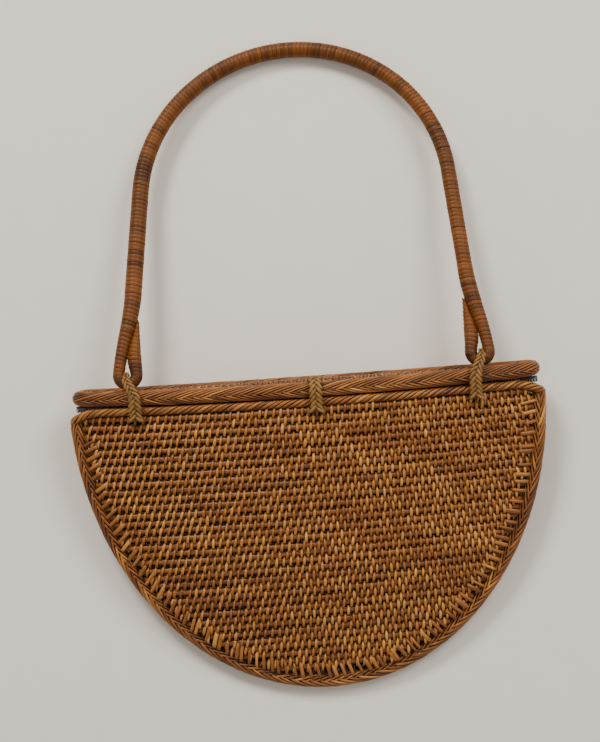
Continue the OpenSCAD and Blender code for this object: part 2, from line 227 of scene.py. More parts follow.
# Handle: it thins out from its left leg to its right one. A stain has its place, half length and depth
HANDLE_H = 185.0
ARCH_R = 85.0
LEG_LEAN = math.radians(5.5)
ARCH_SHIFT = 2.0
HANDLE_R = 4.6
EYE_R = 3.25
EYE_TURN = 4.8
FOLD_L = 30.0
FOLD_R = 0.6
FOLD_SWELL = 0.6
RIGHT_SHARE = 0.85
LEFT_SHARE = 1.06
SHARE_RUN = 25.0
STAINS = ((0.30, 0.010, 0.30), (0.705, 0.022, 0.28), (0.47, 0.006, 0.2))
SPLIT_L = FOLD_L + 14
BEND_L = math.pi * EYE_TURN
LEG_L = (HANDLE_H - ARCH_R + ARCH_R * math.sin(LEG_LEAN)) / math.cos(LEG_LEAN)
ARCH_L = ARCH_R * (math.pi / 2 - LEG_LEAN)
HALF_L = FOLD_L + BEND_L + LEG_L - EYE_TURN + ARCH_L
EYE_X = ARCH_R * math.cos(LEG_LEAN) + LEG_L * math.sin(LEG_LEAN)

# Straps
STRAP_X = 91.0
STRAP_MID_X = 6.0
STRAP_W = 7.6
STRAP_FOOT = 5.0
STRAP_T = 2.6
STRAP_FOOT_W = STRAP_W + 2
STRAP_NECK_W = (6.6, 5.2, 3.4)
STRAP_LOOP_W = 2.4
STRAND_HALF_W = 0.98
PLAIT_STEP = 2.8
PLAIT_RUN = 5.4
PARTING_GAP = 1.2

# Place of the bag, from the axis of its lid and the axis of its handle
lid_axis = np.array(JOINTS["lid_hinge"]["pos_m"]) / MM
eye_axis = np.array(JOINTS["handle_swing"]["pos_m"]) / MM
LIE_C, LIE_S = math.cos(LIE), math.sin(LIE)
PLACE_Y = lid_axis[1] - LIE_C * LID_Y + LIE_S * MID_Z
LIFT = lid_axis[2] - LIE_S * LID_Y - LIE_C * MID_Z
HANDLE_TILT = math.asin((eye_axis[2] - HANDLE_R) / HANDLE_H)


def unit(v):
    """Directions of length 1."""
    return v / np.maximum(np.linalg.norm(v, axis=-1, keepdims=True), 1e-9)


def vec(x, y, z):
    """Points from their three places."""
    x, y, z = np.broadcast_arrays(x, y, z)
    return np.stack([x, y, z], -1).astype(float)


def ease(t):
    """Smooth step from 0 to 1."""
    c = np.clip(t, 0, 1)
    return c * c * (3 - 2 * c)


def laid(p):
    """Bag's own frame in millimetres to the row frame in metres."""
    x, y, z = p[..., 0], p[..., 1], p[..., 2]
    return vec(x, PLACE_Y + LIE_C * y - LIE_S * z, LIFT + LIE_S * y + LIE_C * z) * MM


def hanging(p):
    """The same for what hangs below the mouth, a little to the right."""
    x, y, z = p[..., 0], p[..., 1], p[..., 2]
    return laid(vec(x - y * BODY_SKEW / BODY_H, y, z))


def on_lid(p):
    """Closed lid's frame to the row frame."""
    x, y, z = p[..., 0], p[..., 1], p[..., 2] - MID_Z
    c, s = math.cos(LID_RISE), math.sin(LID_RISE)
    return laid(vec(x, LID_Y + MOUTH_DIP + c * y - s * z, MID_Z + s * y + c * z))


def hung(p):
    """Handle's own plane to the row frame."""
    x, y, z = p[..., 0], p[..., 1], p[..., 2]
    c, s = math.cos(HANDLE_TILT), math.sin(HANDLE_TILT)
    return vec(x, eye_axis[1] + c * y + s * z, eye_axis[2] - s * y + c * z) * MM


def lens_z(x, rx, tip):
    """Half depth of a lens outline with blunt tips, at a place across the bag."""
    q = np.minimum(1, np.abs(x) / rx)
    return (MID_Z - tip[0]) * (1 - q * q) + tip[0] * np.sqrt(np.maximum(0, 1 - q ** tip[1]))


def dip(x):
    """Sag of the mouth."""
    return MOUTH_DIP * np.maximum(0, 1 - (np.asarray(x) / RIM_RX) ** 2)


def corner_drop(x):
    """Drop of the mouth at its corners."""
    return CORNER_DROP * np.maximum(0, (np.abs(x) - RIM_RX + CORNER_RUN) / CORNER_RUN) ** 2


def dome(x, y):
    """Height of a wall's middle over the plane of the edge braid."""
    inside = 1 - (np.asarray(x) / EDGE_RX) ** 2 - (np.asarray(y) / EDGE_RY) ** 2
    return EDGE_Z + (MID_Z - EDGE_Z) * np.maximum(0, inside)


def lid_line_y(x, z):
    """Height of the closed lid's middle."""
    return LID_Y + MOUTH_DIP - dip(x) + (MID_Z - z) * math.sin(LID_RISE)


def bulge(x, z):
    """Height of the lid's weave over its rim's middle."""
    half = lens_z(x, LID_RX, LID_TIP) - LID_R - CLEAR
    return LID_BULGE * np.maximum(0, 1 - (x / LID_PANEL_RX) ** 2) * np.maximum(0, 1 - (z / half) ** 2)


def front_at(x, y, h):
    """Points at height h over the front wall, with the wall's outward direction."""
    rise = 2 * (MID_Z - EDGE_Z)
    n = unit(vec(rise * x / EDGE_RX ** 2, rise * y / EDGE_RY ** 2, 1.0))
    return vec(x, y, dome(x, y)) + n * np.asarray(h)[..., None], n


def back_at(x, y, h):
    """The same on the back wall, which is flat where the bag lies on it."""
    floor = (LIFT + LIE_S * y) / LIE_C
    crest = WALL_T / 2 + RIDGE_H + 0.2
    z = np.minimum(dome(x, y), floor - crest)
    n = unit(vec(0 * x, 0 * y, -1.0))
    return vec(x, y, -z) + n * np.asarray(h)[..., None], n


def lid_at(x, z, h):
    """The same on the lid's top, in the lid's frame."""
    n = vec(0 * x, 1.0, 0.0)
    return vec(x, bulge(x, z) - dip(x), z) + n * np.asarray(h)[..., None], n


def deselect():
    """Leaves nothing selected, in object mode."""
    if bpy.context.object and bpy.context.object.mode != "OBJECT":
        bpy.ops.object.mode_set(mode="OBJECT")
    bpy.ops.object.select_all(action="DESELECT")


class Cane:
    """One straight length of cane, modelled once, with its points by level along, across and out."""

    def __init__(self, sides, levels, back=1.0):
        deselect()
        bpy.ops.mesh.primitive_cylinder_add(vertices=sides, radius=1.0, depth=2.0, end_fill_type="NGON")
        blank = bpy.context.object
        bpy.ops.object.mode_set(mode="EDIT")
        bpy.ops.mesh.select_mode(type="EDGE")
        bpy.ops.mesh.select_all(action="DESELECT")
        bpy.ops.object.mode_set(mode="OBJECT")
        co = blank.data.vertices
        for edge in blank.data.edges:
            a, b = edge.vertices
            edge.select = abs(co[a].co.z - co[b].co.z) > 1
        bpy.ops.object.mode_set(mode="EDIT")
        if levels > 2:
            bpy.ops.mesh.subdivide(number_cuts=levels - 2)
        bpy.ops.mesh.select_mode(type="VERT")
        bpy.ops.mesh.select_all(action="DESELECT")
        bpy.ops.object.mode_set(mode="OBJECT")
        for v in blank.data.vertices:
            v.select = v.co.y < -0.01
        bpy.ops.object.mode_set(mode="EDIT")
        bpy.ops.transform.resize(value=(1, back, 1), center_override=(0, 0, 0))
        bpy.ops.object.mode_set(mode="OBJECT")
        points = np.array([v.co for v in blank.data.vertices])
        self.levels = levels
        self.t = np.linspace(-1, 1, levels)
        self.level = np.rint((points[:, 2] + 1) / 2 * (levels - 1)).astype(int)
        self.across = -points[:, 0]
        self.out = points[:, 1]
        self.faces = [list(p.vertices) for p in blank.data.polygons]
        mesh = blank.data
        bpy.data.objects.remove(blank)
        bpy.data.meshes.remove(mesh)


class Bundle:
    """Gathers lengths of cane into one piece."""

    def __init__(self):
        self.points, self.grain, self.tone, self.faces, self.marks = [], [], [], [], []
        self.count = 0

    def lay(self, cane, route, out, half_w, half_t, tone, crest, place, mark=0):
        """Lays one copy of the cane along each route (copies, levels, 3), with its crown towards out."""
        n, k = route.shape[:2]
        half_w = np.broadcast_to(half_w, (n, k))
        half_t = np.broadcast_to(half_t, (n, k))
        tone = np.broadcast_to(np.asarray(tone, float).reshape(-1, 1), (n, k))
        crest = np.broadcast_to(crest, (n, k))
        along = unit(np.gradient(route, axis=1))
        across = unit(np.cross(along, out))
        up = np.cross(across, along)
        lv = cane.level
        p = (route[:, lv] + across[:, lv] * (half_w[:, lv] * cane.across)[..., None]
             + up[:, lv] * (half_t[:, lv] * cane.out)[..., None])
        run = np.concatenate(
            [np.zeros((n, 1)), np.cumsum(np.linalg.norm(np.diff(route, axis=1), axis=-1), 1)], 1)
        seed = (np.arange(n) * 37.7 + self.count * 0.013) % GRAIN_SPAN
        grain = vec(run[:, lv], half_w[:, lv] * cane.across + 0 * run[:, lv], seed[:, None])
        # Painted shade: the side of each cane away from out is darker, and crest says how lit each level is
        depth = np.clip(0.25 + 0.75 * cane.out, 0, 1)
        look = vec(tone[:, lv], crest[:, lv] * depth, (seed / GRAIN_SPAN)[:, None])
        v = len(lv)
        self.points.append(place(p).reshape(-1, 3))
        self.grain.append(grain.reshape(-1, 3))
        self.tone.append(look.reshape(-1, 3))
        for i in range(n):
            base = self.count + i * v
            self.faces.extend([base + q for q in f] for f in cane.faces)
        self.marks.extend([mark] * (n * len(cane.faces)))
        self.count += n * v

    def piece(self, name, materials, body, slot, *nodes, round_cane=True):
        """Makes the gathered cane one mesh object that rides on a body."""
        mesh = bpy.data.meshes.new(name)
        mesh.from_pydata(np.concatenate(self.points), [], self.faces)
        smooth = np.array([round_cane and len(f) <= 4 for f in self.faces])
        mesh.polygons.foreach_set("use_smooth", smooth)
        for material in materials:
            mesh.materials.append(material)
        mesh.polygons.foreach_set("material_index", np.array(self.marks, np.int32))
        for label, values in (("grain", self.grain), ("look", self.tone)):
            layer = mesh.attributes.new(label, "FLOAT_VECTOR", "POINT")
            layer.data.foreach_set("vector", np.concatenate(values).astype(np.float32).ravel())
        mesh.update()
        obj = bpy.data.objects.new(name, mesh)
        bpy.context.scene.collection.objects.link(obj)
        if body:
            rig.ride(obj, body)
        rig.slot(obj, slot)
        if nodes:
            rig.replaces(obj, *nodes)
        return obj


class Route:
    """A path by length, with its outward and upward directions."""

    def __init__(self, points, up, loop):
        self.loop = loop
        p = np.concatenate([points, points[:1]]) if loop else points
        self.s = np.concatenate([[0], np.cumsum(np.linalg.norm(np.diff(p, axis=0), axis=1))])
        self.total = self.s[-1]
        self.p = p
        if loop:
            t = unit(np.roll(points, -1, 0) - np.roll(points, 1, 0))
            t = np.concatenate([t, t[:1]])
        else:
            t = unit(np.gradient(p, axis=0))
        up = np.broadcast_to(np.asarray(up, float), p.shape)
        self.up = unit(up - np.sum(up * t, -1, keepdims=True) * t)
        self.side = np.cross(t, self.up)

    def at(self, s):
        s = np.mod(s, self.total) if self.loop else np.clip(s, 0, self.total)
        pick = lambda a: np.stack([np.interp(s, self.s, a[:, i]) for i in range(3)], -1)
        return pick(self.p), unit(pick(self.up)), unit(pick(self.side))

    def around(self, s, angle, r):
        """Points on a tube round the path: angle 0 outwards, 90 degrees upwards."""
        p, up, side = self.at(s)
        n = np.cos(angle)[..., None] * side + np.sin(angle)[..., None] * up
        return p + n * np.asarray(r)[..., None], n


def patches(x, y, seed):
    """Slow change of tone over a surface, from -1 to 1."""
    rng = np.random.default_rng(seed)
    total = 0
    for wave in (90, 55, 34, 21):
        a, phase = rng.uniform(0, 2 * math.pi, 2)
        total = total + np.sin((np.cos(a) * x + 1.6 * np.sin(a) * y) * 2 * math.pi / wave + phase)
    return total / 2.6


def srgb(r, g, b):
    """A screen colour, 0 to 255, as a linear one."""
    to_linear = lambda c: c / 12.92 if c <= 0.04045 else ((c + 0.055) / 1.055) ** 2.4
    return tuple(to_linear(c / 255) for c in (r, g, b))


def colour(name, words, rgb):
    """A colour that the user can change."""
    return bpy.props.FloatVectorProperty(
        name=name, description=words, subtype="COLOR", size=3, min=0, max=1, default=srgb(*rgb))


def length(name, words, default):
    """A length that the user can change."""
    return bpy.props.FloatProperty(name=name, description=words, default=default, unit="LENGTH")


class HandbagSizes(bpy.types.PropertyGroup):
    """Sizes of the cane work, in metres."""
    rows: bpy.props.IntProperty(
        name="Weave rows", description="Rods across each wall", default=33, min=20, max=40)
    stroke_pitch: length("Stroke pitch", "Distance between strokes of a row", 0.00385)
    stroke_length: length("Stroke length", "Length of a stroke over a rod", 0.0062)
    stroke_width: length("Stroke width", "Width of a stroke", 0.00165)
    chevron_pitch: length("Chevron pitch", "Distance between strands of the braids", 0.0053)
    rim_pitch: length("Rim pitch", "Distance between strokes of the mouth rim", 0.0038)
    binding_pitch: length("Binding pitch", "Distance between turns of the handle", 0.0022)
    tooth_pitch: length("Tooth pitch", "Distance between teeth of the zip", 0.0014)


class HandbagColours(bpy.types.PropertyGroup):
    """Colours of the finishes."""
    pale: colour("Pale cane", "Lightest strokes of the weave", (214, 150, 70))
    honey: colour("Honey cane", "Middle tone of the weave", (150, 90, 32))
    brown: colour("Brown cane", "Darkest strokes of the weave", (80, 40, 12))
    # Painted shade mixed with old varnish: the colour that crevices and the undersides of canes turn to
    crevice: colour("Crevice", "Old varnish down between the strokes", (20, 7, 2))
    braid: colour("Braid", "Middle tone of the braids", (142, 83, 29))
    binding: colour("Binding", "Middle tone of the handle's binding", (104, 58, 16))
    binding_dark: colour("Dark binding", "Darkest turns of the binding", (52, 24, 9))
    plait: colour("Plait", "Middle tone of the straps", (134, 94, 42))
    tape: colour("Zip tape", "Cloth of the zip", (112, 118, 128))
    floor: colour("Floor", "Surface the bag lies on", (240, 233, 220))


def link(tree, *pairs):
    """Joins sockets of a node tree in pairs."""
    for a, b in pairs:
        tree.links.new(a, b)


def new_finish(name):
    """An empty material, with its tree and its shader."""
    material = bpy.data.materials.new(name)
    material.use_nodes = True
    return material, material.node_tree, material.node_tree.nodes["Principled BSDF"]


def mottled(name, texture, scale, dark, light, roughness):
    """A material whose colour wavers between two, with its tree, its shader and the texture."""
    material, tree, shader = new_finish(name)
    place = tree.nodes.new("ShaderNodeTexCoord")
    spots = tree.nodes.new(texture)
    spots.inputs["Scale"].default_value = scale
    ramp = tree.nodes.new("ShaderNodeValToRGB")
    for stop, tint in zip(ramp.color_ramp.elements, (dark, light)):
        stop.color = (*tint, 1)
    link(tree, (place.outputs["Object"], spots.inputs["Vector"]), (spots.outputs["Fac"], ramp.inputs["Fac"]),
         (ramp.outputs["Color"], shader.inputs["Base Color"]))
    shader.inputs["Roughness"].default_value = roughness
    return material, tree, shader, spots


def cane_group():
    """Shared finish of split cane: streaks along it, a tone for each length, painted shade and dark varnish in the
    depths.
    """
    group = bpy.data.node_groups.new("Split cane", "ShaderNodeTree")
    face = group.interface
    for name in ("Pale", "Middle", "Dark", "Crevice"):
        face.new_socket(name=name, in_out="INPUT", socket_type="NodeSocketColor")
    for name, value in (("Streak", 0.35), ("Gloss", 0.42)):
        face.new_socket(name=name, in_out="INPUT", socket_type="NodeSocketFloat").default_value = value
    face.new_socket(name="Color", in_out="OUTPUT", socket_type="NodeSocketColor")
    face.new_socket(name="Roughness", in_out="OUTPUT", socket_type="NodeSocketFloat")
    face.new_socket(name="Height", in_out="OUTPUT", socket_type="NodeSocketFloat")
    new = group.nodes.new
    gin, gout = new("NodeGroupInput"), new("NodeGroupOutput")
    grain, look = new("ShaderNodeAttribute"), new("ShaderNodeAttribute")
    grain.attribute_name, look.attribute_name = "grain", "look"
    parts = new("ShaderNodeSeparateXYZ")
    stretch = new("ShaderNodeMapping")
    stretch.inputs["Scale"].default_value = (0.16, 2.4, 1.0)
    fibre = new("ShaderNodeTexNoise")
    fibre.inputs["Scale"].default_value = 1.0
    fibre.inputs["Detail"].default_value = 4.0
    blotch_map = new("ShaderNodeMapping")
    blotch_map.inputs["Scale"].default_value = (0.09, 0.3, 1.0)
    blotch = new("ShaderNodeTexNoise")
    blotch.inputs["Scale"].default_value = 1.0
    link(group, (look.outputs["Vector"], parts.inputs[0]),
         (grain.outputs["Vector"], stretch.inputs["Vector"]), (stretch.outputs[0], fibre.inputs["Vector"]),
         (grain.outputs["Vector"], blotch_map.inputs["Vector"]),
         (blotch_map.outputs[0], blotch.inputs["Vector"]))

    def maths(kind, a, b, clamp=False):
        node = new("ShaderNodeMath")
        node.operation, node.use_clamp = kind, clamp
        for socket, value in zip(node.inputs, (a, b)):
            if isinstance(value, (int, float)):
                socket.default_value = value
            else:
                link(group, (value, socket))
        return node.outputs[0]

    def mixed(fac, a, b):
        node = new("ShaderNodeMix")
        node.data_type = "RGBA"
        link(group, (fac, node.inputs["Factor"]), (a, node.inputs["A"]), (b, node.inputs["B"]))
        return node.outputs["Result"]

    streak = maths("MULTIPLY", maths("SUBTRACT", fibre.outputs["Fac"], 0.5), gin.outputs["Streak"])
    stain = maths("MULTIPLY", maths("SUBTRACT", blotch.outputs["Fac"], 0.5), 0.55)
    tone = maths("ADD", maths("ADD", parts.outputs[0], maths("MULTIPLY", streak, 2.0)), stain, True)
    lower = maths("MULTIPLY", tone, 2.0, True)
    upper = maths("SUBTRACT", maths("MULTIPLY", tone, 2.0), 1.0, True)
    body = mixed(upper, mixed(lower, gin.outputs["Dark"], gin.outputs["Middle"]), gin.outputs["Pale"])
    # Painted shade: where the second value of the look attribute is low, the colour goes over to the crevice colour
    lit_share = maths("MULTIPLY", parts.outputs[1], 1.5, True)
    unshaded = maths("MULTIPLY", lit_share, maths("SUBTRACT", 2.0, lit_share))
    link(group, (mixed(unshaded, gin.outputs["Crevice"], body), gout.inputs["Color"]))
    rough = maths("ADD", gin.outputs["Gloss"], maths("MULTIPLY", maths("SUBTRACT", 1.0, unshaded), 0.3))
    link(group, (maths("ADD", rough, maths("MULTIPLY", streak, 0.4)), gout.inputs["Roughness"]),
         (fibre.outputs["Fac"], gout.inputs["Height"]))
    return group


def shade(c, k):
    """A colour made lighter or darker."""
    return tuple(min(1.0, v * k) for v in c)


def finish(kind):
    """A varnished cane material made from the shared finish."""
    if kind in bpy.data.materials:
        return bpy.data.materials[kind]
    c = bpy.context.scene.handbag_colours
    pale, middle, dark, streak, gloss, coat, shine = {
        "woven_cane": (c.pale, c.honey, c.brown, 0.35, 0.42, 0.12, 0.35),
        "braided_cane": (shade(c.pale, 0.95), c.braid, shade(c.brown, 0.9), 0.5, 0.42, 0.12, 0.35),
        "bound_cane": (shade(c.binding, 1.7), c.binding, c.binding_dark, 0.35, 0.45, 0.02, 0.2),
        "plaited_cane": (shade(c.plait, 1.35), c.plait, shade(c.plait, 0.45), 0.4, 0.5, 0.05, 0.35),
    }[kind]
    material, tree, shader = new_finish(kind)
    node = tree.nodes.new("ShaderNodeGroup")
    node.node_tree = bpy.data.node_groups.get("Split cane") or cane_group()
    for label, value in (("Pale", pale), ("Middle", middle), ("Dark", dark), ("Crevice", c.crevice)):
        node.inputs[label].default_value = (*value, 1)
    node.inputs["Streak"].default_value = streak
    node.inputs["Gloss"].default_value = gloss
    bump = tree.nodes.new("ShaderNodeBump")
    bump.inputs["Strength"].default_value = 0.25
    bump.inputs["Distance"].default_value = 0.0002
    link(tree, (node.outputs["Color"], shader.inputs["Base Color"]),
         (node.outputs["Roughness"], shader.inputs["Roughness"]),
         (node.outputs["Height"], bump.inputs["Height"]), (bump.outputs[0], shader.inputs["Normal"]))
    shader.inputs["Specular IOR Level"].default_value = shine
    shader.inputs["Coat Weight"].default_value = coat
    shader.inputs["Coat Roughness"].default_value = 0.25
    return material


def wander(v, x):
    """How far a row strays from its line, in millimetres."""
    return 0.22 * np.sin(x / 19.0 + 57.0 * v) + 0.16 * np.sin(x / 7.3 - 131.0 * v) + 0.1 * np.sin(211.0 * v)


def weave(bundle, at, place, rows, columns, line, reach, inside, seed, sense=1, age=0.0):
    """Weaves rods across and strokes over and under them.

    line(v, x) is a row, reach(v) its two ends and inside(x, y) the distance from the edge of the weave.
    sense is the way the strokes lean, and the last argument makes all the cane darker.
    """
    s = bpy.context.scene.handbag_sizes
    rng = np.random.default_rng(seed)
    rod = Cane(6, 41)
    stroke = Cane(6, 5, 0.45)
    lining = Cane(4, 4, 0.6)
    row_tone = rng.normal(0, 0.05, len(rows))
    ends = np.array([reach(v) for v in rows])
    t = (rod.t + 1) / 2
    x = ends[:, :1] + (ends[:, 1:] - ends[:, :1]) * t
    y = line(rows[:, None], x) + wander(rows[:, None], x) + ROD_RISE
    route, out = at(x, y, 0 * x)
    # Painted shade: rods are darker where they run on under the lashing, outside the woven panel
    panel_light = ease(inside(x, y) / 4 + 1)
    tone = ROD_TONE - age + row_tone + rng.normal(0, 0.03, len(rows))
    bundle.lay(rod, route, out, ROD_HALF_W, ROD_HALF_T, tone, 0.6 + 0.1 * panel_light, place)
    r, k = np.meshgrid(np.arange(len(rows)), np.arange(len(columns)), indexing="ij")
    r, k = r.ravel(), k.ravel()
    cx = columns[k] + rng.normal(0, 0.22, len(k))
    cy = line(rows[r], cx) + wander(rows[r], cx) + rng.normal(0, 0.2, len(k))
    ok = inside(cx, cy) > -5.0
    r, k, cx, cy = r[ok], k[ok], cx[ok], cy[ok]
    over = (r + k) % 2 == 0
    tone = STROKE_TONE + 0.1 * rows[r] - age + 0.13 * patches(cx, cy, seed) + row_tone[r]
    tone = tone + rng.normal(0, 0.1, len(r))
    half_l = 0.5 * s.stroke_length / MM * (1 + rng.normal(0, 0.08, len(r)))
    half_w = 0.5 * s.stroke_width / MM * (1 + rng.normal(0, 0.08, len(r)))
    lean = sense * (0.14 - 0.0014 * cx + rng.normal(0, 0.06, len(r)))
    lift = rng.normal(0, 0.08, len(r))
    for cane, pick, side in ((stroke, over, 1.0), (lining, ~over, -1.0)):
        u = cane.t[None]
        sx = cx[pick][:, None] + u * half_l[pick][:, None] * np.sin(lean[pick])[:, None]
        sy = cy[pick][:, None] + u * half_l[pick][:, None] * np.cos(lean[pick])[:, None]
        bow = 1 - np.abs(u) ** 2.2
        h = side * (-STROKE_SINK + (STROKE_CROWN + lift[pick][:, None]) * bow)
        p, n = at(sx, sy, h)
        width = half_w[pick][:, None] * (1 - 0.3 * np.abs(u) ** 3)
        # Painted shade and painted highlight: strokes under the rods and the ends that dive are darker, and each
        # stroke's top end is lit more than its lower end
        crest = (0.6 + 0.25 * side) * (0.3 + 0.9 * bow) * (0.9 + 0.35 * u)
        bundle.lay(cane, p, n * side, width, STROKE_HALF_T, tone[pick], crest, place)


def stroke_columns(width):
    """Places of the upright strands: a little closer on the right than on the left."""
    pitch = 0.5 * bpy.context.scene.handbag_sizes.stroke_pitch / MM
    places, x = [], -width
    while x < width:
        places.append(x)
        x += pitch * (1.04 - 0.10 * (x + width) / (2 * width))
    return np.array(places)


def wall_line(v, x):
    """Height of a row of the walls: it follows the mouth and tilts a little towards the bottom."""
    return -(PANEL_TOP + (PANEL_BOTTOM - PANEL_TOP) * v) - dip(x) * (1 - v) + np.tan(ROW_TILT * v) * x


def wall_inside(x, y):
    """Distance inside the woven part of a wall, in millimetres, less than 0 outside."""
    q = np.sqrt((x / PANEL_RX) ** 2 + (y / PANEL_RY) ** 2)
    return (1 - q) * PANEL_MEAN_R


def wall_reach(v):
    """Ends of a row, under the lashing and up to the edge braid."""
    ends = []
    for sign in (-1, 1):
        x = sign * 60.0
        for _ in range(30):
            y = float(wall_line(v, x))
            x = sign * (EDGE_RX - EDGE_TUCK) * math.sqrt(max(0.012, 1 - (y / (EDGE_RY - EDGE_TUCK)) ** 2))
        ends.append(x)
    return ends


class HANDBAG_OT_walls(bpy.types.Operator):
    """Weaves the front and the back wall"""
    bl_idname = "handbag.walls"
    bl_label = "Woven walls"

    def execute(self, context):
        count = context.scene.handbag_sizes.rows
        step = 1.0 / count
        columns = stroke_columns(PANEL_RX + PAST_PANEL)
        for name, at, body_node, shift, seed, sense in (
                ("front_weave", front_at, "front_panel", 0.5, 11, 1),
                ("back_weave", back_at, "back_panel", 0.25, 12, -1)):
            rows = (np.arange(count + 1) + shift) * step
            bundle = Bundle()
            weave(bundle, at, hanging, rows, columns, wall_line, wall_reach, wall_inside, seed, sense)
            bundle.piece(name, [finish("woven_cane")], "bag", "cane_weave", body_node)
        return {"FINISHED"}


def lay_core(bundle, route, levels, r, place):
    """Lays the core of a braid or a rim, dark with painted shade where it shows between the strands."""
    p, _, side = route.at(np.linspace(0, route.total, levels))
    bundle.lay(Cane(8, levels), p[None], side[None], r, r, 0.1, 0.1, place)


def braid(bundle, route, r, pitch, place, seed, apex=0.0, lean=25.0, turn=180.0):
    """Lays two fans of strands that meet in chevrons along the outer side of a tube."""
    rng = np.random.default_rng(seed)
    lay_core(bundle, route, 161, r - 0.9, place)
    strand = Cane(6, 15, 0.5)
    tucked = 16     # degrees of a strand that lie under the other fan
    count = int(round(route.total / pitch))
    gap = route.total / count
    lag = r / math.tan(math.radians(lean))
    for way in (1, -1):
        start = (np.arange(count) + (0.5 if way < 0 else 0.0)) * gap
        if not route.loop:
            start = np.concatenate([np.arange(-3, 0) * gap + (0.5 * gap if way < 0 else 0), start])
        n = len(start)
        sweep = np.radians(-tucked + (turn + tucked) * (strand.t + 1) / 2)[None]
        at_s = start[:, None] + lag * np.maximum(sweep, -0.1) + rng.normal(0, 0.15, (n, 1))
        rise = ease((np.degrees(sweep) + tucked) / 26)
        radius = r - 0.55 - 0.75 * (1 - rise) + rng.normal(0, 0.06, (n, 1))
        points, out = route.around(at_s, apex + way * sweep + 0 * at_s, radius + 0 * at_s)
        width = 0.5 * gap * math.sin(math.radians(lean)) * (0.78 + rng.normal(0, 0.06, (n, 1)))
        tone = 0.4 + rng.normal(0, 0.15, n) + 0.1 * np.sin(start / 17.0 + seed)
        # Painted shade: each strand darkens where it tucks under the other fan
        bundle.lay(strand, points, out, width * (0.65 + 0.35 * rise), 0.55, tone, 0.35 + 0.65 * rise, place)


def edge_route():
    """Path of the edge braid, from the left end of the mouth to the right one."""
    a = np.radians(np.linspace(180.4 - EDGE_START, EDGE_START - 0.4, 600))
    points = vec(EDGE_RX * np.cos(a), -EDGE_RY * np.sin(a), 0)
    return Route(points, (0, 0, 1), False)


class HANDBAG_OT_edge(bpy.types.Operator):
    """Braids the curved edge and lashes the walls to it"""
    bl_idname = "handbag.edge"
    bl_label = "Edge braid and lashing"

    def execute(self, context):
        pitch = context.scene.handbag_sizes.chevron_pitch / MM
        bundle = Bundle()
        braid(bundle, edge_route(), EDGE_R, pitch, hanging, 21, math.pi / 2, 21, 176)
        bundle.piece("edge_braid_cane", [finish("braided_cane")], "bag", "cane_braid", "edge_braid")
        rng = np.random.default_rng(22)
        bundle = Bundle()
        stroke = Cane(6, 6, 0.5)
        count = LASH_COUNT
        for side in (1, -1):
            a = np.radians(LASH_FROM + LASH_SPAN * (np.arange(count) + (0.5 if side > 0 else 0.0)) / count)
            a = a + rng.normal(0, 0.006, count)
            out = unit(vec(np.cos(a) / EDGE_RX, -np.sin(a) / EDGE_RY, 0))
            foot = vec(PANEL_RX * np.cos(a), -PANEL_RY * np.sin(a), 0)
            foot = foot - out * (0.6 + rng.normal(0, 0.8, (count, 1)))
            b = a - 0.016
            end = vec(EDGE_RX * np.cos(b), -EDGE_RY * np.sin(b), 0) - out * 2.2
            t = (stroke.t + 1) / 2
            p = foot[:, None] + (end - foot)[:, None] * t[None, :, None]
            at = front_at if side > 0 else back_at
            wall, _ = at(p[..., 0], p[..., 1], 0 * p[..., 0])
            h = 1.9 - 2.2 * np.maximum(0, 0.25 - t) / 0.25 - 0.6 * ease((t - 0.7) / 0.3)
            p[..., 2] = side * (np.abs(wall[..., 2]) + h[None])
            tone = 0.46 + rng.normal(0, 0.17, count)
            # Painted shade: each lashing stroke darkens at its ends, where it goes down into the weave and under the
            # braid
            crest = 0.3 + 0.7 * ease(t / 0.2) * ease((1.1 - t) / 0.3)
            width = 1.05 * (1 + rng.normal(0, 0.14, (count, 1)))
            bundle.lay(stroke, p, vec(0, 0, side), width, 0.5, tone, crest[None], hanging)
        bundle.piece("edge_lashing_cane", [finish("woven_cane")], "bag", "cane_weave", "edge_lashing")
        return {"FINISHED"}


def lens_route(rx, tip, drop):
    """Closed path of a rim. drop lets it down at the corners of the mouth."""
    a = np.linspace(math.pi, -math.pi, 1201)[:-1]
    x = rx * np.cos(a)
    z = np.sign(np.sin(a)) * lens_z(x, rx, tip)
    return Route(vec(x, -dip(x) - (RIM_CORNER * corner_drop(x) if drop else 0), z), (0, 1, 0), True)


class HANDBAG_OT_mouth(bpy.types.Operator):
    """Winds the rim of the mouth with slanted strokes"""
    bl_idname = "handbag.mouth"
    bl_label = "Mouth rim"

    def execute(self, context):
        route = lens_route(RIM_RX - 0.4, RIM_TIP, True)
        rng = np.random.default_rng(31)
        bundle = Bundle()
        lay_core(bundle, route, 201, RIM_R - 0.7, laid)
        stroke = Cane(6, 13, 0.5)
        count = int(round(route.total / (context.scene.handbag_sizes.rim_pitch / MM)))
        start = np.arange(count) * route.total / count
        turn = stroke.t[None] * math.pi * 1.03
        at_s = start[:, None] + RIM_LEAD * turn / (2 * math.pi) + rng.normal(0, 0.15, (count, 1))
        points, out = route.around(at_s, turn + 0 * at_s, RIM_R - 0.5 + 0 * at_s)
        slant = math.atan(2 * math.pi * RIM_R / RIM_LEAD)
        width = 0.5 * route.total / count * math.sin(slant) * (0.84 + rng.normal(0, 0.06, (count, 1)))
        # Painted shade: each stroke is lit where it faces up and out and darkens as it turns under the rim
        crest = 0.3 + 0.7 * ease((np.cos(turn - 0.7) + 0.35) / 0.9)
        bundle.lay(stroke, points, out, width, 0.55, 0.45 + rng.normal(0, 0.14, count), crest, laid)
        bundle.piece("mouth_rim_cane", [finish("woven_cane")], "bag", "cane_braid", "mouth_rim")
        return {"FINISHED"}


